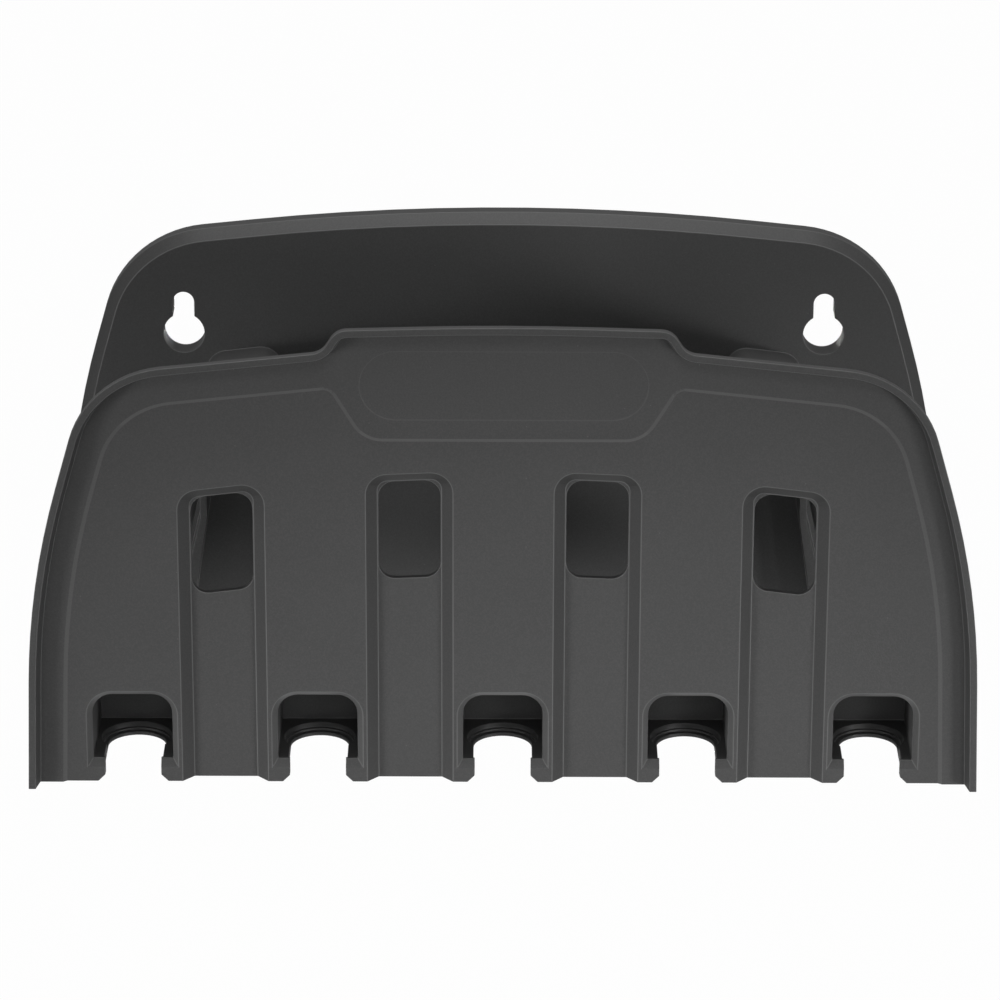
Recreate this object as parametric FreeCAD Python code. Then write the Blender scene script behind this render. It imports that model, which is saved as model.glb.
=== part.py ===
import FreeCAD, Part
import math
import os

# Wall hanger for a garden hose, moulded in one piece.
# A pan shaped back plate hangs on two screws, a corrugated saddle carries the hose,
# and a front plate keeps the hose in place and holds five hose fittings in its pockets.
# X runs to the right, Y towards the wall (the wall is Y = 0) and Z upwards.
# The origin is on the wall, midway between the two screw holes. All sizes are millimetres and degrees.
# Heights are measured from the lower edge of both plates.

# Pattern of the front: cut-outs for fittings, with a groove between each two
cutout_count = 5
cutout_pitch = 59.85

# Depths
hose_space = 127.0
plate_wall = 3.0
back_pan_depth = 8.4

# Outline that both plates share
side_margin = 18.75
lower_lean = 1.8
knee_height = 71.1
knee_radius = 270.0
flank_lean = 16.0
flank_straight = 1.0
ridge_height = 155.85
top_fall = 6.0
shoulder_radius = 34.0

# Raised tab of the front plate
tab_height = 158.8
tab_half_width = 54.2
tab_side_slope = 58.0
tab_top_fall = 1.6
tab_radius = 6.3
tab_bow_radius = 1000.0

# Rim and border of the front plate
rim_height = 6.6
rim_wall = 2.3
rim_draft = 1.1
lip_depth = 2.4
lip_lean = 3.0
border_rise = 0.9

# Sunk panel inside the border
panel_inset_side = 10.7
panel_inset_top = 13.2
panel_step_width = 1.3
panel_radius = 27.0
dip_depth = 23.25
dip_half_width = 50.8
dip_slope = 59.0
dip_corner_radius = 5.0
dip_foot_radius = 10.0

# Oval field on the tab
oval_length = 91.4
oval_height = 23.2
oval_centre_height = 137.1
oval_step_width = 0.35
oval_sink = 0.25

# Grooves and the humps of the saddle behind them
groove_width = 27.7
groove_depth = 4.0
groove_wall_run = 3.6
groove_corner_radius = 7.0
groove_floor_wall = 2.2
arch_height = 107.8
arch_radius = 736.0

# Windows at the head of the grooves
window_height = 33.2
window_ledge = 0.35
window_radius = 5.6

# Saddle
hump_rise = 9.0
saddle_wall = 3.0
saddle_skirt = 8.0
saddle_narrowing = 2.2

# Fins that brace the saddle from below
fin_depth = 20.0
fin_wall = 2.4
fin_foot_height = 8.6
fin_knee_height = 48.1
fin_splay_outside = 13.0
fin_splay_inside = 8.5

# Cut-outs and the pockets behind them
cutout_width = 29.4
cutout_top = 31.7
cutout_radius = 8.4
toe_height = 5.0
toe_bevel = 2.55
bevel = 1.8
bevel_depth = 2.1
pocket_depth = 33.4
pocket_wall = 2.2
shelf_wall = 4.1

# Slot in the shelf of each pocket
slot_width = 19.0
slot_reach = 19.2
toe_gap = 18.1
toe_chamfer = 2.3
ring_diameter = 23.0
ring_sink = 1.9
ring_step = 0.7
ring_step_sink = 0.9

# Back plate
back_inset_side = 2.1
back_inset_top = 0.6
back_shoulder_radius = 39.0
back_crown_radius = 815.0
back_bevel = 3.5
back_wall = 2.5
back_corner_radius = 8.0

# Screw holes
keyhole_spacing = 218.2
keyhole_height = 108.1
keyhole_diameter = 14.0
keyhole_slot_width = 7.25
keyhole_slot_rise = 11.1
keyhole_collar_wall = 2.2

# How far cutting shapes run past a face
overrun = 5.0

# Worked out
back_face = -back_pan_depth
front_back = back_face - hose_space
front_face = front_back - plate_wall
rim_front = front_face - rim_height
half_width = (cutout_count - 1) / 2 * cutout_pitch + cutout_width / 2 + side_margin
shelf_top = toe_height + toe_bevel
shelf_bottom = shelf_top - shelf_wall
cutout_places = [(i - (cutout_count - 1) / 2) * cutout_pitch for i in range(cutout_count)]
groove_places = [(i - (cutout_count - 2) / 2) * cutout_pitch for i in range(cutout_count - 1)]
saddle_half = max(groove_places) + groove_width / 2


def point(x, height, y):
    """A point given by its height above the plates' lower edge."""
    return FreeCAD.Vector(x, y, height - keyhole_height)


def rounded_wire(corners, y):
    """Closed wire through (x, height, radius) corners, rounded by tangent arcs."""
    edges = []
    count = len(corners)
    starts = []
    ends = []
    arcs = []
    for i, (x, height, radius) in enumerate(corners):
        here = point(x, height, y)
        back = point(corners[i - 1][0], corners[i - 1][1], y) - here
        ahead = point(corners[(i + 1) % count][0], corners[(i + 1) % count][1], y) - here
        half_turn = (math.pi - back.getAngle(ahead)) / 2
        if radius <= 0:
            starts.append(here)
            ends.append(here)
            arcs.append(None)
            continue
        back.normalize()
        ahead.normalize()
        reach = radius * math.tan(half_turn)
        inward = back + ahead
        inward.normalize()
        middle = here + inward * (radius / math.cos(half_turn) - radius)
        starts.append(here + back * reach)
        ends.append(here + ahead * reach)
        arcs.append(Part.Arc(starts[-1], middle, ends[-1]).toShape())
    for i in range(count):
        if arcs[i]:
            edges.append(arcs[i])
        edges.append(Part.LineSegment(ends[i], starts[(i + 1) % count]).toShape())
    return Part.Wire(edges)


def prism(corners, y_start, y_end):
    """Solid between two planes across Y."""
    face = Part.Face(rounded_wire(corners, y_start))
    return face.extrude(FreeCAD.Vector(0, y_end - y_start, 0))


def taper(corners_start, y_start, corners_end, y_end):
    """Solid with ruled sides between two outlines that have the same corners."""
    wires = [rounded_wire(corners_start, y_start), rounded_wire(corners_end, y_end)]
    return Part.makeLoft(wires, True, True)


def moved(line, inset):
    """A line (x, height, heading) moved to its left."""
    x, height, heading = line
    side = math.radians(heading + 90)
    return x + inset * math.cos(side), height + inset * math.sin(side), heading


def crossing(first, second):
    """Where two lines cross."""
    ax, ah, a = first
    bx, bh, b = second
    ua, va = math.cos(math.radians(a)), math.sin(math.radians(a))
    ub, vb = math.cos(math.radians(b)), math.sin(math.radians(b))
    along = ((bx - ax) * vb - (bh - ah) * ub) / (ua * vb - va * ub)
    return ax + along * ua, ah + along * va


def mirrored(right_half, middle):
    """Corners of a whole outline from its right half, bottom first, and the corners on its middle."""
    left_half = [(-x, height, radius) for x, height, radius in reversed(right_half)]
    return right_half + middle + left_half


def side_lines(insets):
    """The lower side, the flank and the top line, each moved inwards by its inset."""
    lower = (half_width, 0, 90 + lower_lean)
    knee_x = half_width - knee_height * math.tan(math.radians(lower_lean))
    flank = (knee_x, knee_height, 90 + flank_lean)
    top = (0, ridge_height, 180 - top_fall)
    return [moved(line, inset) for line, inset in zip((lower, flank, top), insets)]


def side_corners(lines, bottom, shoulder, inset):
    """Corners from the bottom up to the shoulder, with the knee rounded as far as the flank has room."""
    base = (0, bottom, 0)
    foot_x, foot_h = crossing(lines[0], base)
    knee_x, knee_h = crossing(lines[0], lines[1])
    top_x, top_h = crossing(lines[1], lines[2])
    flank = math.hypot(top_x - knee_x, top_h - knee_h)
    shoulder_reach = shoulder * math.tan(math.radians(lines[2][2] - lines[1][2]) / 2)
    room = (flank - shoulder_reach - flank_straight) / math.tan(math.radians(lines[1][2] - lines[0][2]) / 2)
    return [(foot_x, foot_h, 0), (knee_x, knee_h, min(knee_radius - inset, room)), (top_x, top_h, shoulder)]


def rim_corners(low, flank, top, bottom=0.0):
    """Front outline with the tab, moved inwards by the three insets."""
    lines = side_lines((low, flank, top))
    corners = side_corners(lines, bottom, shoulder_radius - flank, low)
    slope_foot = ridge_height - tab_half_width * math.tan(math.radians(top_fall))
    middle_height = (slope_foot + tab_height) / 2
    tab_side = moved((tab_half_width, middle_height, 180 - tab_side_slope), top)
    tab_top = moved((0, tab_height, 180 - tab_top_fall), top)
    corners.append(crossing(lines[2], tab_side) + (tab_radius + top,))
    corners.append(crossing(tab_side, tab_top) + (tab_radius - top,))
    crown = crossing(tab_top, (0, 0, 90))
    return mirrored(corners, [crown + (tab_bow_radius,)])


def panel_corners(step, bottom):
    """Outline of the sunk panel, with its dip under the oval field."""
    side = panel_inset_side + step
    lines = side_lines((side, side, panel_inset_top + step))
    corners = side_corners(lines, bottom, panel_radius - step, side)
    dip_top = ridge_height - panel_inset_top
    dip_side = moved((dip_half_width, dip_top - dip_depth / 2, 180 + dip_slope), step)
    dip = moved((0, dip_top - dip_depth, 180), step)
    corners.append(crossing(lines[2], dip_side) + (dip_corner_radius - step,))
    corners.append(crossing(dip_side, dip) + (dip_foot_radius + step,))
    return mirrored(corners, [])


def back_corners(inset):
    """Outline of the back plate, moved inwards."""
    side = back_inset_side + inset
    lines = side_lines((side, side, back_inset_top + inset))
    corners = side_corners(lines, inset, back_shoulder_radius - inset, side)
    foot = corners[0]
    corners[0] = (foot[0], foot[1], back_corner_radius - inset)
    crown = crossing(lines[2], (0, 0, 90))
    return mirrored(corners, [crown + (back_crown_radius,)])


def arch_line(x, sink):
    """Tangent of the saddle's arch above x, sunk by a distance."""
    tilt = math.asin(x / arch_radius)
    radius = arch_radius - sink
    height = arch_height - arch_radius + radius * math.cos(tilt)
    return radius * math.sin(tilt), height, 180 - math.degrees(tilt)


def hump_corners(x, inset, bottom, narrowing=0.0):
    """Outline of a hump and of the groove in front of it: upright sides and a tilted round top."""
    top = arch_line(x, inset)
    half = groove_width / 2 - inset
    radius = groove_corner_radius - inset
    side = saddle_half - inset - narrowing
    right_x = min(x + half, side)
    left_x = max(x - half, -side)
    right = crossing(top, (right_x, 0, 90))
    left = crossing(top, (left_x, 0, 90))
    return [(right_x, bottom, 0), right + (radius,), left + (radius,), (left_x, bottom, 0)]


def front_tray():
    """Front plate with its rim, flat border and sunk panel."""
    lip_back = rim_front + lip_depth
    tray = prism(rim_corners(0, 0, 0), rim_front, lip_back)
    tray = tray.fuse(taper(rim_corners(0, 0, 0), lip_back, rim_corners(lip_lean, lip_lean, lip_lean), front_back))
    below = -overrun
    foot = rim_wall + rim_draft
    border_plane = front_face - border_rise
    mouth = taper(rim_corners(rim_wall, rim_wall, rim_wall, below), rim_front,
                  rim_corners(foot, foot, foot, below), border_plane)
    panel = taper(panel_corners(0, below), border_plane, panel_corners(panel_step_width, below), front_face)
    return tray.cut(mouth).cut(panel)


def oval_corners(inset):
    """Oval field, a long rectangle with round ends."""
    across = oval_length / 2 - inset
    up = oval_height / 2 - inset
    middle = oval_centre_height
    radius = up * 0.999
    return [(across, middle - up, radius), (across, middle + up, radius),
            (-across, middle + up, radius), (-across, middle - up, radius)]


def oval_field():
    """Field on the tab, sunk a little with a sloping step round it."""
    top = front_face - border_rise
    return taper(oval_corners(0), top, oval_corners(oval_step_width), top + oval_sink)


def groove_backs():
    """Solid behind each groove that keeps the plate's wall there."""
    rear = front_face + groove_depth + groove_floor_wall
    return [prism(hump_corners(x, 0, 0), front_face, rear) for x in groove_places]


def groove_cuts():
    """Sloping channel and window of each groove."""
    cuts = []
    floor = front_face + groove_depth
    rear = floor + groove_floor_wall
    lead = border_rise * groove_wall_run / groove_depth
    for x in groove_places:
        cuts.append(taper(hump_corners(x, -lead, -overrun), front_face - border_rise,
                          hump_corners(x, groove_wall_run, -overrun), floor))
        corners = hump_corners(x, groove_wall_run + window_ledge, 0)
        right, left = corners[1], corners[2]
        radius = window_radius - window_ledge
        window = [(right[0], right[1] - window_height, radius), (right[0], right[1], radius),
                  (left[0], left[1], radius), (left[0], left[1] - window_height, radius)]
        cuts.append(prism(window, floor - groove_depth, rear + overrun))
    return cuts


def cutout_corners(x, inset, bottom):
    """Arched outline of a cut-out."""
    half = cutout_width / 2 - inset
    radius = cutout_radius - inset
    return [(x + half, bottom, 0), (x + half, cutout_top - inset, radius),
            (x - half, cutout_top - inset, radius), (x - half, bottom, 0)]


def pocket_boxes():
    """Boxes behind the cut-outs."""
    rear = front_face + pocket_depth + pocket_wall
    return [prism(cutout_corners(x, bevel - pocket_wall, shelf_bottom), front_face, rear) for x in cutout_places]


def upright_slot(x, radius, h_low, h_high):
    """Slot along Y with a round end, open towards the toes."""
    end = front_face + slot_reach
    begin = front_face + plate_wall
    start = point(x + radius, h_low, begin)
    corner = point(x + radius, h_low, end)
    far = point(x, h_low, end + radius)
    other = point(x - radius, h_low, end)
    last = point(x - radius, h_low, begin)
    edges = [Part.LineSegment(start, corner).toShape(), Part.Arc(corner, far, other).toShape(),
             Part.LineSegment(other, last).toShape(), Part.LineSegment(last, start).toShape()]
    return Part.Face(Part.Wire(edges)).extrude(FreeCAD.Vector(0, 0, h_high - h_low))


def pocket_cuts():
    """Bevelled opening, hollow, slot and stepped ring of each pocket."""
    cuts = []
    throat = front_face + bevel_depth
    rear = front_face + pocket_depth
    up = FreeCAD.Vector(0, 0, 1)
    for x in cutout_places:
        lead = border_rise / bevel_depth
        cuts.append(taper(cutout_corners(x, -lead * bevel, toe_height - lead * toe_bevel), front_face - border_rise,
                          cutout_corners(x, bevel, shelf_top), throat))
        cuts.append(prism(cutout_corners(x, bevel, shelf_top), throat, rear))
        cuts.append(upright_slot(x, slot_width / 2, -overrun, shelf_top + overrun))
        step_floor = shelf_top - ring_sink
        centre = point(x, step_floor, front_face + slot_reach)
        cuts.append(Part.makeCylinder(ring_diameter / 2, ring_sink + overrun, centre, up))
        centre = point(x, step_floor - ring_step_sink, front_face + slot_reach)
        cuts.append(Part.makeCylinder(ring_diameter / 2 - ring_step, ring_step_sink + overrun, centre, up))
        half = toe_gap / 2
        gap = [(x - half - toe_chamfer, 0, 0), (x + half + toe_chamfer, 0, 0), (x + half, toe_chamfer, 0),
               (x + half, shelf_top, 0), (x - half, shelf_top, 0), (x - half, toe_chamfer, 0)]
        cuts.append(prism(gap, front_face, front_face + plate_wall))
    return cuts


def deck_height(x, sink):
    """Height at x of an arch concentric with the saddle's arch and below it by a distance."""
    return arch_height - arch_radius + math.sqrt((arch_radius - sink) ** 2 - x ** 2)


def saddle_side(y):
    """Half width of the saddle, which narrows towards the wall."""
    return saddle_half - saddle_narrowing * (y - front_back) / hose_space


def deck_wire(y):
    """Section of the arched deck between the humps."""
    half = saddle_side(y)
    arcs = []
    for sink, side in ((hump_rise, 1), (hump_rise + saddle_wall, -1)):
        end = deck_height(half, sink)
        crown = point(0, deck_height(0, sink), y)
        arcs.append(Part.Arc(point(side * half, end, y), crown, point(-side * half, end, y)))
    top, low = arcs
    return Part.Wire([top.toShape(), Part.LineSegment(top.EndPoint, low.StartPoint).toShape(), low.toShape(),
                      Part.LineSegment(low.EndPoint, top.StartPoint).toShape()])


def skirt_corners(side, y):
    """Section of the skirt under one side of the deck."""
    top = deck_height(saddle_half, hump_rise)
    low = top - saddle_wall - saddle_skirt
    outer = side * saddle_side(y)
    inner = side * (saddle_side(y) - saddle_wall)
    return [(outer, low, 0), (outer, top, 0), (inner, top, 0), (inner, low, 0)]


def saddle():
    """Corrugated saddle: deck, hollow humps and a skirt at each side."""
    body = Part.makeLoft([deck_wire(front_back), deck_wire(back_face)], True, True)
    hollow_front = front_face + groove_depth + groove_floor_wall
    hollows = []
    for x in groove_places:
        foot = deck_height(abs(x) + groove_width / 2, hump_rise + saddle_wall)
        body = body.fuse(taper(hump_corners(x, 0, foot), front_back,
                               hump_corners(x, 0, foot, saddle_narrowing), back_face))
        hollows.append(taper(hump_corners(x, saddle_wall, foot - overrun), hollow_front,
                             hump_corners(x, saddle_wall, foot - overrun, saddle_narrowing), back_face))
    for side in (-1, 1):
        body = body.fuse(taper(skirt_corners(side, front_back), front_back, skirt_corners(side, back_face), back_face))
    return body, hollows


def fin_corners(side):
    """Section of a fin: upright under the saddle's side, splayed outwards and thicker below its knee."""
    top = deck_height(saddle_half, hump_rise + saddle_wall / 2)
    drop = fin_knee_height - fin_foot_height
    outer = saddle_half
    inner = outer - fin_wall
    outer_foot = outer + drop * math.tan(math.radians(fin_splay_outside))
    inner_foot = inner + drop * math.tan(math.radians(fin_splay_inside))
    corners = [(inner_foot, fin_foot_height), (outer_foot, fin_foot_height), (outer, fin_knee_height),
               (outer, top), (inner, top), (inner, fin_knee_height)]
    return [(side * x, height, 0) for x, height in corners]


def fins():
    """Upright fins on the back plate under the outer humps."""
    return [prism(fin_corners(side), back_face - fin_depth, back_face) for side in (-1, 1)]


def back_pan():
    """Back plate: a flat pan with a bevelled skirt, open towards the wall."""
    shoulder = back_face + back_bevel
    outside = prism(back_corners(0), shoulder, 0).fuse(taper(back_corners(back_bevel), back_face,
                                                             back_corners(0), shoulder))
    floor = back_face + plate_wall
    inner_shoulder = shoulder + plate_wall
    inside = prism(back_corners(back_wall), inner_shoulder, overrun)
    inside = inside.fuse(taper(back_corners(back_wall + back_bevel), floor, back_corners(back_wall), inner_shoulder))
    return outside.cut(inside)


def keyhole(x, grow, y_start, y_end):
    """Entry hole with a narrower slot above it."""
    reach = FreeCAD.Vector(0, y_end - y_start, 0)
    along = FreeCAD.Vector(0, 1, 0)
    length = y_end - y_start
    entry = Part.makeCylinder(keyhole_diameter / 2 + grow, length, point(x, keyhole_height, y_start), along)
    half = keyhole_slot_width / 2 + grow
    top = keyhole_height + keyhole_slot_rise
    neck_points = [point(x - half, keyhole_height, y_start), point(x + half, keyhole_height, y_start),
                   point(x + half, top, y_start), point(x, top + half, y_start), point(x - half, top, y_start)]
    neck_edges = [Part.LineSegment(neck_points[0], neck_points[1]).toShape(),
                  Part.LineSegment(neck_points[1], neck_points[2]).toShape(),
                  Part.Arc(neck_points[2], neck_points[3], neck_points[4]).toShape(),
                  Part.LineSegment(neck_points[4], neck_points[0]).toShape()]
    return entry.fuse(Part.Face(Part.Wire(neck_edges)).extrude(reach))


def keyhole_places():
    """The two screw holes."""
    return (-keyhole_spacing / 2, keyhole_spacing / 2)


def hanger_body():
    """The whole moulding."""
    front = front_tray().fuse(groove_backs() + pocket_boxes())
    deck, hollows = saddle()
    collars = [keyhole(x, keyhole_collar_wall, back_face, 0) for x in keyhole_places()]
    back = back_pan().fuse(collars)
    body = front.fuse([deck, back] + fins())
    body = body.cut(hollows)
    body = body.cut(groove_cuts() + pocket_cuts())
    body = body.cut([keyhole(x, 0, back_face - overrun, overrun) for x in keyhole_places()])
    body = body.cut(oval_field())
    return body.removeSplitter()


body = hanger_body()
os.makedirs("parts", exist_ok=True)
body.exportStep("parts/hanger_body.step")
print("solids", len(body.Solids), "valid", body.isValid(), "volume", round(body.Volume), body.BoundBox)
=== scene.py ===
import math
from collections import namedtuple
import bmesh
import bpy
from mathutils import Matrix, Vector


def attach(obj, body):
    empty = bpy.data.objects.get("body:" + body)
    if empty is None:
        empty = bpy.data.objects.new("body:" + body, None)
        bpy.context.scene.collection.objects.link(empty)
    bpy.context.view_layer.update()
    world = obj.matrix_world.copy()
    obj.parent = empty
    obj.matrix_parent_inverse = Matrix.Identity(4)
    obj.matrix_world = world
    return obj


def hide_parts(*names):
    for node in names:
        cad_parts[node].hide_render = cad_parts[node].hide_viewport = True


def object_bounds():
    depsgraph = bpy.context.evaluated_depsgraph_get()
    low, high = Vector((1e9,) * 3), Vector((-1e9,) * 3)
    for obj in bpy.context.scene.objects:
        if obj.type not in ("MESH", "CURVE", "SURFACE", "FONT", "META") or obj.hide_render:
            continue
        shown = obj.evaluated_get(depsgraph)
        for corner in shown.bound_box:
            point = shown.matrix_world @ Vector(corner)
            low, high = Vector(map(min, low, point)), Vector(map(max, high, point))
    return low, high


bl_info = {
    "name": "Hose Hanger Dresser",
    "version": (1, 0, 0),
    "blender": (4, 5, 0),
    "location": "View3D > Sidebar > Hanger",
    "description": "Dresses a one-piece moulded hose hanger and sets its studio",
    "category": "Object",
}

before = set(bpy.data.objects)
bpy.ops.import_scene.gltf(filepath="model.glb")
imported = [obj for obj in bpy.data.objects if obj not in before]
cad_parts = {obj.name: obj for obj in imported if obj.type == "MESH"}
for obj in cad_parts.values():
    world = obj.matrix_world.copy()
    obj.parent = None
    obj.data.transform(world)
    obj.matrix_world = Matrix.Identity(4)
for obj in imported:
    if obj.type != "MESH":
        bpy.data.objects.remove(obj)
cad_low, cad_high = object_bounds()

BODY_NODE = "hanger_body"
BODY = "root"
MM = 0.001

# Places on the moulding, as in its CAD source
FRONT_FACE = -138.4 * MM
BORDER_RISE = 0.9 * MM
OVAL_SINK = 0.25 * MM
BEVEL_DEPTH = 2.1 * MM
CUTOUT_PITCH = 59.85 * MM
CUTOUT_REACH = 15.7 * MM
CUTOUT_HEAD = -75.0 * MM
TOE_EDGE = -103.1 * MM
SHELF_TOP = -100.55 * MM
POCKET_DEPTH = 33.4 * MM
GROOVE_DEPTH = 4.0 * MM
BACK_FACE = -8.4 * MM
BACK_SHOULDER = -4.9 * MM

# How far from such a place a face may lie and still belong to it
NEAR = 1.0 * MM
CLOSE = 0.3 * MM

# Limits of the faces' normals: Y is negative towards the front, Z positive upwards
SLOPE_STEEP, SLOPE_FLAT = -0.96, -0.5
GROOVE_STEEP, GROOVE_FLAT = -0.75, -0.6
SQUARE_ON = -0.8
RING_FRONT = -0.2
SIDEWAYS = 0.4
DOWNWARDS = -0.4
UPWARDS = 0.3
TOE_UPWARDS = 0.15

# How much painted highlight makes the marked faces paler, and how much painted shade makes them
# darker
STEP_PALENESS = 1.0
STEP_SIDE_PALENESS = 0.7
OVAL_PALENESS = 0.45
BEVEL_PALENESS = 0.6
EDGE_PALENESS = 1.0
POCKET_EDGE_PALENESS = 3.0
BACK_EDGE_PALENESS = 3.0
BACK_SHOULDER_PALENESS = 2.0
GROOVE_SHADE = 0.1
GROOVE_HEAD_SHADE = 0.25
TOE_SHADE = 0.15
RING_SHADE = 0.5

# Rounding of the edges
MERGE_DISTANCE = 1e-6
EDGE_SEGMENTS = 2
EDGE_PROFILE = 0.5
FLAT_FACE_WEIGHT = 100

# Finish: the grain fades out behind the front plate, where the plastic is smoother
GRAIN_FULL = FRONT_FACE + 6 * MM
GRAIN_GONE = FRONT_FACE + 10 * MM
GRAIN_DETAIL, GRAIN_ROUGHNESS = 3.0, 0.65
CLOUD_SCALE, CLOUD_DETAIL, CLOUD_ROUGHNESS = 28.0, 5.0, 0.6
CLOUD_LOW, CLOUD_HIGH = 0.35, 0.65
CLOUD_SHADE = 0.95
SPECK_SCALE = 260.0
SPECK_CORE, SPECK_RIM = 0.03, 0.06
SPECK_RARITY = 0.85
SPECK_STRENGTH = 0.5
MOTTLE_LOW, MOTTLE_HIGH = 0.40, 0.75
MOTTLE_STRENGTH = 0.22
# Strength of the painted highlights: along the edges behind and on the front plate, and on the
# slopes
EDGE_BACK, EDGE_FRONT = 0.30, 0.80
STEP_STRENGTH = 0.55
ROUGH_BACK, ROUGH_FRONT = 0.52, 0.60
RELIEF_BACK, RELIEF_FRONT = 0.25, 1.0
BUMP_STRENGTH = 0.22
BUMP_DISTANCE = 0.2 * MM
SPECULAR_LEVEL = 0.45

# Stage
WHITE = (1, 1, 1, 1)
BLACK = (0, 0, 0, 1)
FLOOR_REACH = 12
FLOOR_WHITE = 0.985
SENSOR_WIDTH = 36.0
CAMERA_REACH = 60.0

# Lamps: the property with the power, the place, the aim, the width of the square,
# and the angle in degrees that a grid holds the light to
Lamp = namedtuple("Lamp", "name power place aim width spread")
LAMPS = (
    Lamp("left_softbox", "left_power", (-0.99, -0.81, -0.20), (-0.05, FRONT_FACE, -0.14), 0.26, 28),
    Lamp("right_softbox", "right_power", (0.92, -0.91, -0.30), (0.12, FRONT_FACE, -0.15), 0.24, 28),
    Lamp("front_softbox", "front_power", (0, -1.57, 0.55), (0, FRONT_FACE, -0.16), 0.35, 30),
    Lamp("high_softbox", "high_power", (0, -1.20, 1.00), (0, FRONT_FACE, -0.12), 0.40, 30),
    Lamp("left_fill", "left_fill_power", (-0.60, -1.40, 0.10), (-0.04, FRONT_FACE, -0.16), 0.35, 28),
    Lamp("right_fill", "right_fill_power", (0.60, -1.40, 0.10), (0.08, FRONT_FACE, -0.16), 0.35, 28),
    Lamp("top_softbox", "top_power", (0, -0.06, 0.95), (0, -0.06, 0), 0.60, 180),
    Lamp("back_softbox", "back_power", (0, 1.30, -0.20), (0, 0, -0.03), 0.20, 30),
    Lamp("under_lamp", "under_power", (0, -0.105, -0.50), (0, -0.05, 0), 0.06, 180),
)


class HangerSizes(bpy.types.PropertyGroup):
    """Sizes of the finish, on top of the moulding's own shape."""
    edge_width: bpy.props.FloatProperty(
        name="Edge rounding", description="Width of the rounding along the moulded edges",
        default=0.22 * MM, unit="LENGTH")
    sharp_angle: bpy.props.FloatProperty(
        name="Sharp angle", description="Edges that turn more than this are rounded",
        default=math.radians(36), subtype="ANGLE")
    grain_size: bpy.props.FloatProperty(
        name="Grain", description="Size of the grain etched on the front of the moulding",
        default=0.55 * MM, unit="LENGTH")


class HangerFinish(bpy.types.PropertyGroup):
    """Colours of the plastic, of its grain mottle and of the highlights painted on it."""
    plastic: bpy.props.FloatVectorProperty(
        name="Plastic", description="Colour of the moulded plastic",
        subtype="COLOR", default=(0.054, 0.054, 0.054), size=3)
    # Paler colour for the grain's mottle and for the painted highlights along the rounded edges and
    # on the sloping steps and bevels
    highlight_and_mottle: bpy.props.FloatVectorProperty(
        name="Edges", description="Paler colour of the edges, where the plastic is rubbed",
        subtype="COLOR", default=(0.125, 0.125, 0.125), size=3)
    dust: bpy.props.FloatVectorProperty(
        name="Dust", description="Colour of the tiny dust specks",
        subtype="COLOR", default=(0.15, 0.15, 0.15), size=3)


class HangerStage(bpy.types.PropertyGroup):
    """Camera, light and floor."""
    elevation: bpy.props.FloatProperty(
        name="Elevation", description="Height of the camera above the horizon",
        default=math.radians(21.5), subtype="ANGLE")
    distance: bpy.props.FloatProperty(
        name="Distance", description="From the camera to the front plate",
        default=1.5373, unit="LENGTH")
    aim: bpy.props.FloatVectorProperty(
        name="Aim", description="Point on the front plate in the middle of the picture",
        subtype="TRANSLATION", default=(-0.00112, FRONT_FACE, -0.0097), size=3)
    lens: bpy.props.FloatProperty(
        name="Lens", description="Focal length in millimetres", default=174.6)
    roll: bpy.props.FloatProperty(
        name="Roll", description="Tilt of the camera about its own axis",
        default=math.radians(0.18), subtype="ANGLE")
    left_power: bpy.props.FloatProperty(
        name="Left lamp", description="Power of the low softbox on the left",
        default=0.222, unit="POWER")
    right_power: bpy.props.FloatProperty(
        name="Right lamp", description="Power of the low softbox on the right",
        default=0.202, unit="POWER")
    front_power: bpy.props.FloatProperty(
        name="Front lamp", description="Power of the softbox at the camera",
        default=0.05, unit="POWER")
    high_power: bpy.props.FloatProperty(
        name="High lamp", description="Power of the high softbox in front",
        default=0.135, unit="POWER")
    left_fill_power: bpy.props.FloatProperty(
        name="Left fill", description="Power of the fill lamp left of the camera",
        default=0.053, unit="POWER")
    right_fill_power: bpy.props.FloatProperty(
        name="Right fill", description="Power of the fill lamp right of the camera",
        default=0.115, unit="POWER")
    top_power: bpy.props.FloatProperty(
        name="Top lamp", description="Power of the softbox overhead",
        default=5.2, unit="POWER")
    under_power: bpy.props.FloatProperty(
        name="Under lamp", description="Power of the small lamp under the saddle",
        default=0.28, unit="POWER")
    back_power: bpy.props.FloatProperty(
        name="Back lamp", description="Power of the softbox on the wall side",
        default=0.6, unit="POWER")
    ambient: bpy.props.FloatProperty(
        name="Ambient", description="Strength of the light from all around", default=0.03)
    mirrored: bpy.props.FloatProperty(
        name="Mirrored", description="Share of the white background that glossy surfaces show",
        default=0.30)
    floor_drop: bpy.props.FloatProperty(
        name="Floor drop", description="Height at which the hanger hangs over the floor",
        default=0.45, unit="LENGTH")
    floor_tone: bpy.props.FloatVectorProperty(
        name="Floor", description="Colour of the floor",
        subtype="COLOR", default=(0.85, 0.85, 0.85), size=3)


def off_cutout(place):
    """Distance of a place from the middle of the nearest cut-out, across the front."""
    return abs(place.x - round(place.x / CUTOUT_PITCH) * CUTOUT_PITCH)


def slopes(face):
    """Whether a face leans back from the front."""
    return SLOPE_STEEP < face.normal.y < SLOPE_FLAT


def slope_paleness(face):
    """How much painted highlight a face gets: steps of the panel and the oval field, bevels of the
    cut-outs.
    """
    if not slopes(face):
        return 0.0
    place = face.calc_center_median()
    above = FRONT_FACE - place.y
    if BORDER_RISE - OVAL_SINK < above < BORDER_RISE:
        return OVAL_PALENESS
    if 0 < above < BORDER_RISE:
        return STEP_SIDE_PALENESS if abs(face.normal.x) > SIDEWAYS else STEP_PALENESS
    at_cutout = off_cutout(place) < CUTOUT_REACH and place.z < CUTOUT_HEAD
    on_bevel = at_cutout and -BEVEL_DEPTH < above < BORDER_RISE
    return BEVEL_PALENESS if on_bevel and face.normal.z < UPWARDS else 0.0


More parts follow.
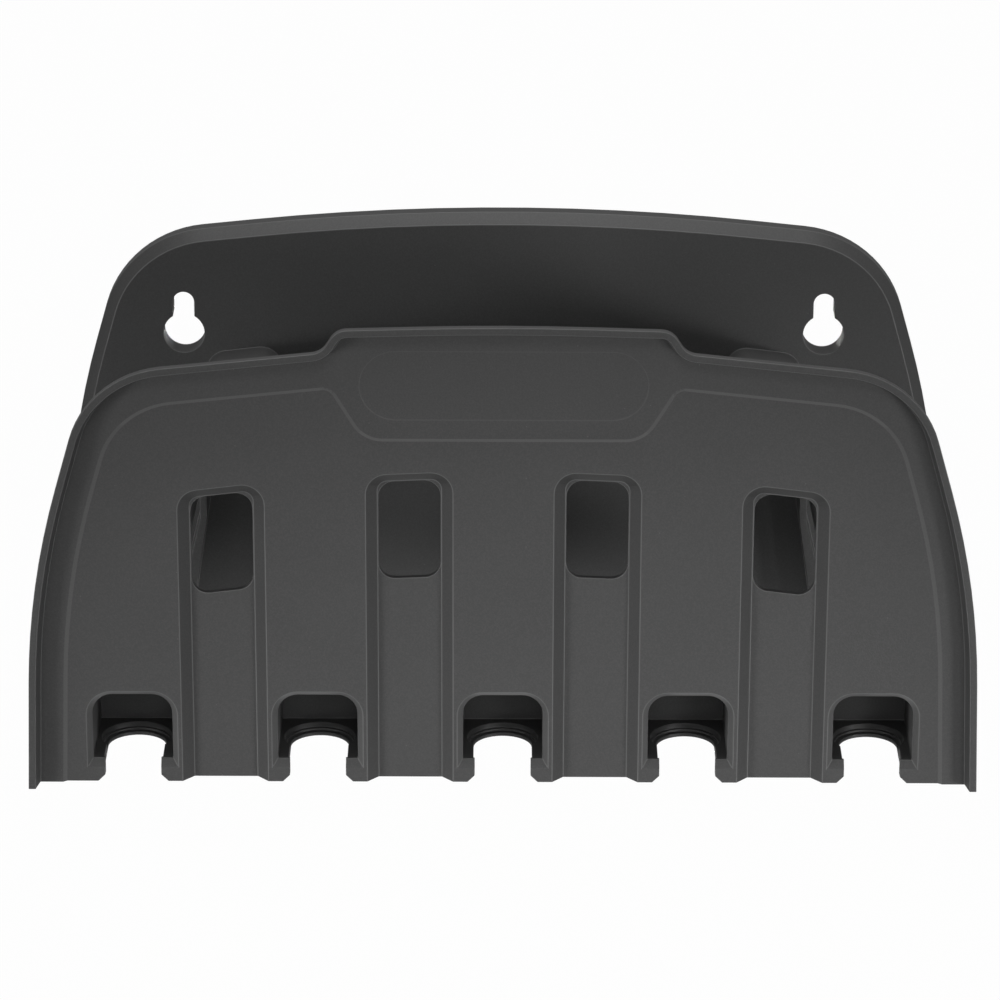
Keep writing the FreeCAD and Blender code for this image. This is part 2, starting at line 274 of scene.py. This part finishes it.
def edge_paleness(face):
    """How much painted highlight a rounded edge gets: the toes stay plain, pockets and back plate
    stand out.
    """
    place = face.calc_center_median()
    behind = place.y - FRONT_FACE
    on_toe = abs(place.z - TOE_EDGE) < NEAR and abs(behind) < NEAR
    if on_toe and face.normal.z > TOE_UPWARDS:
        return 0.0
    if abs(place.z - SHELF_TOP) < NEAR and abs(behind - POCKET_DEPTH) < NEAR:
        return POCKET_EDGE_PALENESS
    if abs(place.y - BACK_FACE) < CLOSE and face.normal.y < SQUARE_ON:
        return BACK_EDGE_PALENESS
    return BACK_SHOULDER_PALENESS if abs(place.y - BACK_SHOULDER) < NEAR else EDGE_PALENESS


def low_shade(face):
    """How much painted shade darkens a face: walls of the grooves, bevels of the toes, rings in the
    shelves.
    """
    place = face.calc_center_median()
    behind = place.y - FRONT_FACE
    if off_cutout(place) > CUTOUT_REACH or place.z > CUTOUT_HEAD:
        wall = GROOVE_STEEP < face.normal.y < GROOVE_FLAT
        if not (wall and -BORDER_RISE < behind < GROOVE_DEPTH):
            return 0.0
        return GROOVE_HEAD_SHADE if face.normal.z < DOWNWARDS else GROOVE_SHADE
    if place.z > SHELF_TOP + NEAR:
        return 0.0
    if behind < BEVEL_DEPTH:
        return TOE_SHADE if slopes(face) and face.normal.z > UPWARDS else 0.0
    in_ring = behind < POCKET_DEPTH and place.z < SHELF_TOP
    return RING_SHADE if in_ring and face.normal.y < RING_FRONT else 0.0


def rounded_mesh(source, sizes):
    """Copy of a moulding's mesh with its sharp edges rounded and its faces marked for painted
    highlights and painted shade.
    """
    mesh = source.data.copy()
    shape = bmesh.new()
    shape.from_mesh(mesh)
    bmesh.ops.remove_doubles(shape, verts=shape.verts, dist=MERGE_DISTANCE)
    edge_highlight_mark = shape.faces.layers.float.new("rubbed_edge")
    slope_highlight_mark = shape.faces.layers.float.new("panel_step")
    painted_shade_mark = shape.faces.layers.float.new("low_shade")
    sharp = [e for e in shape.edges if e.is_manifold and e.calc_face_angle() > sizes.sharp_angle]
    made = bmesh.ops.bevel(
        shape, geom=sharp, offset=sizes.edge_width, offset_type="OFFSET", segments=EDGE_SEGMENTS,
        profile=EDGE_PROFILE, affect="EDGES", clamp_overlap=False, loop_slide=False)
    for face in shape.faces:
        face.smooth = True
        face.normal_update()
        face[slope_highlight_mark] = slope_paleness(face)
        face[painted_shade_mark] = low_shade(face)
    # The faces of the rounded edges carry a painted highlight
    for face in made["faces"]:
        face[edge_highlight_mark] = edge_paleness(face)
    shape.to_mesh(mesh)
    shape.free()
    mesh.materials.clear()
    return mesh


def with_face_normals(name, mesh):
    """Object whose flat faces keep flat shading beside their rounded edges."""
    draft = bpy.data.objects.new(name + "_draft", mesh)
    bpy.context.scene.collection.objects.link(draft)
    weighted = draft.modifiers.new("flat_faces", "WEIGHTED_NORMAL")
    weighted.mode = "FACE_AREA"
    weighted.weight = FLAT_FACE_WEIGHT
    bpy.context.view_layer.update()
    evaluated = draft.evaluated_get(bpy.context.evaluated_depsgraph_get())
    finished = bpy.data.meshes.new_from_object(evaluated)
    finished.name = name
    bpy.data.objects.remove(draft)
    piece = bpy.data.objects.new(name, finished)
    bpy.context.scene.collection.objects.link(piece)
    return piece


class Nodes:
    """Shorthand for filling a node tree."""

    def __init__(self, tree):
        self.tree = tree

    def add(self, kind, inputs=None, **settings):
        """Node with its settings, and its inputs linked to sockets or set to values."""
        node = self.tree.nodes.new(kind)
        for key, value in settings.items():
            setattr(node, key, value)
        for key, value in (inputs or {}).items():
            if isinstance(value, bpy.types.NodeSocket):
                self.tree.links.new(value, node.inputs[key])
            else:
                node.inputs[key].default_value = value
        return node

    def math(self, operation, first, second):
        """Two values put together."""
        return self.add("ShaderNodeMath", {0: first, 1: second}, operation=operation).outputs[0]

    def spread(self, value, low, high, to_low, to_high):
        """A value's range made another range."""
        return self.add("ShaderNodeMapRange", {
            "Value": value, "From Min": low, "From Max": high,
            "To Min": to_low, "To Max": to_high}).outputs["Result"]

    def blend(self, factor, first, second):
        """Two colours mixed."""
        inputs = {0: factor, 6: first, 7: second}
        return self.add("ShaderNodeMix", inputs, data_type="RGBA").outputs[2]

    def mark(self, name):
        """Value of a mark on the mesh's faces."""
        return self.add("ShaderNodeAttribute", attribute_name=name).outputs["Fac"]


def new_group(name, inputs, outputs):
    """Shader node group with named sockets: a kind for each name."""
    tree = bpy.data.node_groups.new(name, "ShaderNodeTree")
    for sockets, way in ((inputs, "INPUT"), (outputs, "OUTPUT")):
        for socket, kind in sockets.items():
            tree.interface.new_socket(socket, in_out=way, socket_type="NodeSocket" + kind)
    return tree


GRAIN_SOCKETS = {"Clouds": "Float", "Height": "Float", "Specks": "Float", "Front": "Float"}


def grain_group(sizes):
    """Etched grain, clouds in the tone and dust specks, all in the piece's own coordinates."""
    tree = new_group("mould_grain", {}, GRAIN_SOCKETS)
    nodes = Nodes(tree)
    place = nodes.add("ShaderNodeTexCoord").outputs["Object"]
    fine = nodes.add("ShaderNodeTexNoise", {
        "Vector": place, "Scale": 1 / sizes.grain_size,
        "Detail": GRAIN_DETAIL, "Roughness": GRAIN_ROUGHNESS}).outputs["Fac"]
    clouds = nodes.add("ShaderNodeTexNoise", {
        "Vector": place, "Scale": CLOUD_SCALE,
        "Detail": CLOUD_DETAIL, "Roughness": CLOUD_ROUGHNESS}).outputs["Fac"]
    cells = nodes.add("ShaderNodeTexVoronoi", {"Vector": place, "Scale": SPECK_SCALE})
    spot = nodes.spread(cells.outputs["Distance"], SPECK_CORE, SPECK_RIM, 1.0, 0.0)
    drawn = nodes.add("ShaderNodeSeparateColor", {"Color": cells.outputs["Color"]}).outputs["Red"]
    specks = nodes.math("MULTIPLY", spot, nodes.math("GREATER_THAN", drawn, SPECK_RARITY))
    depth = nodes.add("ShaderNodeSeparateXYZ", {"Vector": place}).outputs["Y"]
    front = nodes.spread(depth, GRAIN_FULL, GRAIN_GONE, 1.0, 0.0)
    nodes.add("NodeGroupOutput", {
        "Clouds": clouds, "Height": fine, "Specks": specks, "Front": front})
    return tree


def tone_group(finish):
    """Colour of the plastic: clouded, mottled, dusted, with painted highlights and painted shade
    where it is marked.
    """
    tree = new_group("plastic_tone", GRAIN_SOCKETS, {"Color": "Color"})
    nodes = Nodes(tree)
    grain = nodes.add("NodeGroupInput").outputs
    plain = tuple(finish.plastic) + (1,)
    darker = tuple(v * CLOUD_SHADE for v in finish.plastic) + (1,)
    paler = tuple(finish.highlight_and_mottle) + (1,)
    dust = tuple(finish.dust) + (1,)
    cloud = nodes.spread(grain["Clouds"], CLOUD_LOW, CLOUD_HIGH, 0.0, 1.0)
    mottle = nodes.spread(grain["Height"], MOTTLE_LOW, MOTTLE_HIGH, 0.0, MOTTLE_STRENGTH)
    # Painted highlight along the rounded edges, weaker behind the front plate
    edge_strength = nodes.spread(grain["Front"], 0.0, 1.0, EDGE_BACK, EDGE_FRONT)
    edge = nodes.math("MULTIPLY", nodes.mark("rubbed_edge"), edge_strength)
    # Painted highlight on the sloping steps and bevels
    step = nodes.math("MULTIPLY", nodes.mark("panel_step"), STEP_STRENGTH)
    specks = nodes.math("MULTIPLY", grain["Specks"], SPECK_STRENGTH)
    colour = nodes.blend(cloud, darker, plain)
    colour = nodes.blend(mottle, colour, paler)
    colour = nodes.blend(edge, colour, paler)
    colour = nodes.blend(step, colour, paler)
    colour = nodes.blend(specks, colour, dust)
    # Painted shade: marked faces blended towards black
    colour = nodes.blend(nodes.mark("low_shade"), colour, BLACK)
    nodes.add("NodeGroupOutput", {"Color": colour})
    return tree


def plastic_material(sizes, finish):
    """Dark grey moulded plastic with a fine matt grain on the front and a smoother back."""
    material = bpy.data.materials.new("hanger_plastic_matt")
    material.use_nodes = True
    tree = material.node_tree
    nodes = Nodes(tree)
    grain = nodes.add("ShaderNodeGroup", node_tree=grain_group(sizes)).outputs
    tone = nodes.add("ShaderNodeGroup", {name: grain[name] for name in GRAIN_SOCKETS},
                     node_tree=tone_group(finish))
    rough = nodes.spread(grain["Front"], 0.0, 1.0, ROUGH_BACK, ROUGH_FRONT)
    share = nodes.spread(grain["Front"], 0.0, 1.0, RELIEF_BACK, RELIEF_FRONT)
    relief = nodes.math("MULTIPLY", grain["Height"], share)
    bump = nodes.add("ShaderNodeBump", {
        "Strength": BUMP_STRENGTH, "Distance": BUMP_DISTANCE, "Height": relief})
    shader = tree.nodes["Principled BSDF"]
    shader.inputs["Specular IOR Level"].default_value = SPECULAR_LEVEL
    tree.links.new(tone.outputs["Color"], shader.inputs["Base Color"])
    tree.links.new(rough, shader.inputs["Roughness"])
    tree.links.new(bump.outputs["Normal"], shader.inputs["Normal"])
    return material


class HANGER_OT_body(bpy.types.Operator):
    """Make the moulded body with rounded edges and its plastic finish, with painted highlights and
    painted shade
    """
    bl_idname = "hanger.body"
    bl_label = "Moulded body"

    def execute(self, context):
        sizes = context.scene.hanger_sizes
        mesh = rounded_mesh(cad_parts[BODY_NODE], sizes)
        piece = with_face_normals("moulded_hanger", mesh)
        piece.data.materials.append(plastic_material(sizes, context.scene.hanger_finish))
        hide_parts(BODY_NODE)
        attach(piece, BODY)
        return {"FINISHED"}


def white_for_camera(nodes, shader, white, share, mirrored):
    """Mix a shader with white light that the camera sees, and glossy surfaces see in part."""
    path = nodes.add("ShaderNodeLightPath").outputs
    bent = nodes.math("MAXIMUM", path["Is Glossy Ray"], path["Is Transmission Ray"])
    dimmed = nodes.math("MULTIPLY", bent, mirrored)
    seen = nodes.math("MAXIMUM", path["Is Camera Ray"], dimmed)
    factor = nodes.math("MULTIPLY", seen, share)
    return nodes.add("ShaderNodeMixShader", {0: factor, 1: shader, 2: white}).outputs[0]


def soft_lamp(scene, stage, lamp):
    """Soft square lamp turned to its aim."""
    light = bpy.data.lights.new(lamp.name, "AREA")
    light.shape = "SQUARE"
    light.size = lamp.width
    light.energy = getattr(stage, lamp.power)
    light.spread = math.radians(lamp.spread)
    item = bpy.data.objects.new(lamp.name, light)
    item.visible_camera = False
    scene.collection.objects.link(item)
    place = Vector(lamp.place)
    turn = (Vector(lamp.aim) - place).to_track_quat("-Z", "Y").to_matrix().to_4x4()
    item.matrix_world = Matrix.Translation(place) @ turn


def make_world(scene, stage):
    """White to the camera, soft light to the object."""
    world = bpy.data.worlds.new("studio")
    world.use_nodes = True
    tree = world.node_tree
    nodes = Nodes(tree)
    soft = tree.nodes["Background"]
    soft.inputs["Color"].default_value = WHITE
    soft.inputs["Strength"].default_value = stage.ambient
    white = nodes.add("ShaderNodeBackground", {"Color": WHITE, "Strength": 1.0})
    mixed = white_for_camera(nodes, soft.outputs[0], white.outputs[0], 1.0, stage.mirrored)
    tree.links.new(mixed, tree.nodes["World Output"].inputs["Surface"])
    scene.world = world


def make_floor(scene, stage):
    """Pale floor some way under the moulding, near white to the camera with a faint shadow."""
    mesh = bpy.data.meshes.new("studio_floor")
    level = cad_low[2] - stage.floor_drop
    corners = ((-1, -1), (1, -1), (1, 1), (-1, 1))
    mesh.from_pydata([(x * FLOOR_REACH, y * FLOOR_REACH, level) for x, y in corners],
                     [], [(0, 1, 2, 3)])
    floor = bpy.data.objects.new("studio_floor", mesh)
    scene.collection.objects.link(floor)
    material = bpy.data.materials.new("studio_floor")
    material.use_nodes = True
    tree = material.node_tree
    nodes = Nodes(tree)
    tree.nodes.remove(tree.nodes["Principled BSDF"])
    matt = nodes.add("ShaderNodeBsdfDiffuse", {"Color": tuple(stage.floor_tone) + (1,)})
    white = nodes.add("ShaderNodeEmission", {"Color": WHITE, "Strength": 1.0})
    mixed = white_for_camera(nodes, matt.outputs[0], white.outputs[0], FLOOR_WHITE, stage.mirrored)
    tree.links.new(mixed, tree.nodes["Material Output"].inputs["Surface"])
    mesh.materials.append(material)


def make_camera(scene, stage):
    """Camera at the photograph's viewing angle."""
    lens = bpy.data.cameras.new("photo_camera")
    lens.lens = stage.lens
    lens.sensor_width = SENSOR_WIDTH
    lens.clip_end = CAMERA_REACH
    camera = bpy.data.objects.new("photo_camera", lens)
    scene.collection.objects.link(camera)
    back = Vector((0, -math.cos(stage.elevation), math.sin(stage.elevation)))
    level = (-back).to_track_quat("-Z", "Y").to_matrix().to_4x4()
    place = Matrix.Translation(Vector(stage.aim) + back * stage.distance)
    camera.matrix_world = place @ (level @ Matrix.Rotation(stage.roll, 4, "Z"))
    scene.camera = camera


class HANGER_OT_stage(bpy.types.Operator):
    """Make the floor, the light and the camera"""
    bl_idname = "hanger.stage"
    bl_label = "Stage"

    def execute(self, context):
        scene = context.scene
        stage = scene.hanger_stage
        scene.view_settings.view_transform = "Standard"
        make_world(scene, stage)
        make_floor(scene, stage)
        for lamp in LAMPS:
            soft_lamp(scene, stage, lamp)
        make_camera(scene, stage)
        return {"FINISHED"}


class HANGER_PT_panel(bpy.types.Panel):
    """Sizes, colours and buttons for the hanger"""
    bl_label = "Hose hanger"
    bl_idname = "HANGER_PT_panel"
    bl_space_type = "VIEW_3D"
    bl_region_type = "UI"
    bl_category = "Hanger"

    def draw(self, context):
        scene = context.scene
        for group in (scene.hanger_sizes, scene.hanger_finish, scene.hanger_stage):
            box = self.layout.box()
            for name in group.bl_rna.properties.keys():
                if name not in {"rna_type", "name"}:
                    box.prop(group, name)
        self.layout.operator(HANGER_OT_body.bl_idname)
        self.layout.operator(HANGER_OT_stage.bl_idname)


CLASSES = (HangerSizes, HangerFinish, HangerStage,
           HANGER_OT_body, HANGER_OT_stage, HANGER_PT_panel)


def register():
    for item in CLASSES:
        bpy.utils.register_class(item)
    bpy.types.Scene.hanger_sizes = bpy.props.PointerProperty(type=HangerSizes)
    bpy.types.Scene.hanger_finish = bpy.props.PointerProperty(type=HangerFinish)
    bpy.types.Scene.hanger_stage = bpy.props.PointerProperty(type=HangerStage)


def unregister():
    del bpy.types.Scene.hanger_stage
    del bpy.types.Scene.hanger_finish
    del bpy.types.Scene.hanger_sizes
    for item in reversed(CLASSES):
        bpy.utils.unregister_class(item)


def main():
    register()
    bpy.ops.hanger.body()
    bpy.ops.hanger.stage()


if __name__ == "__main__":
    main()
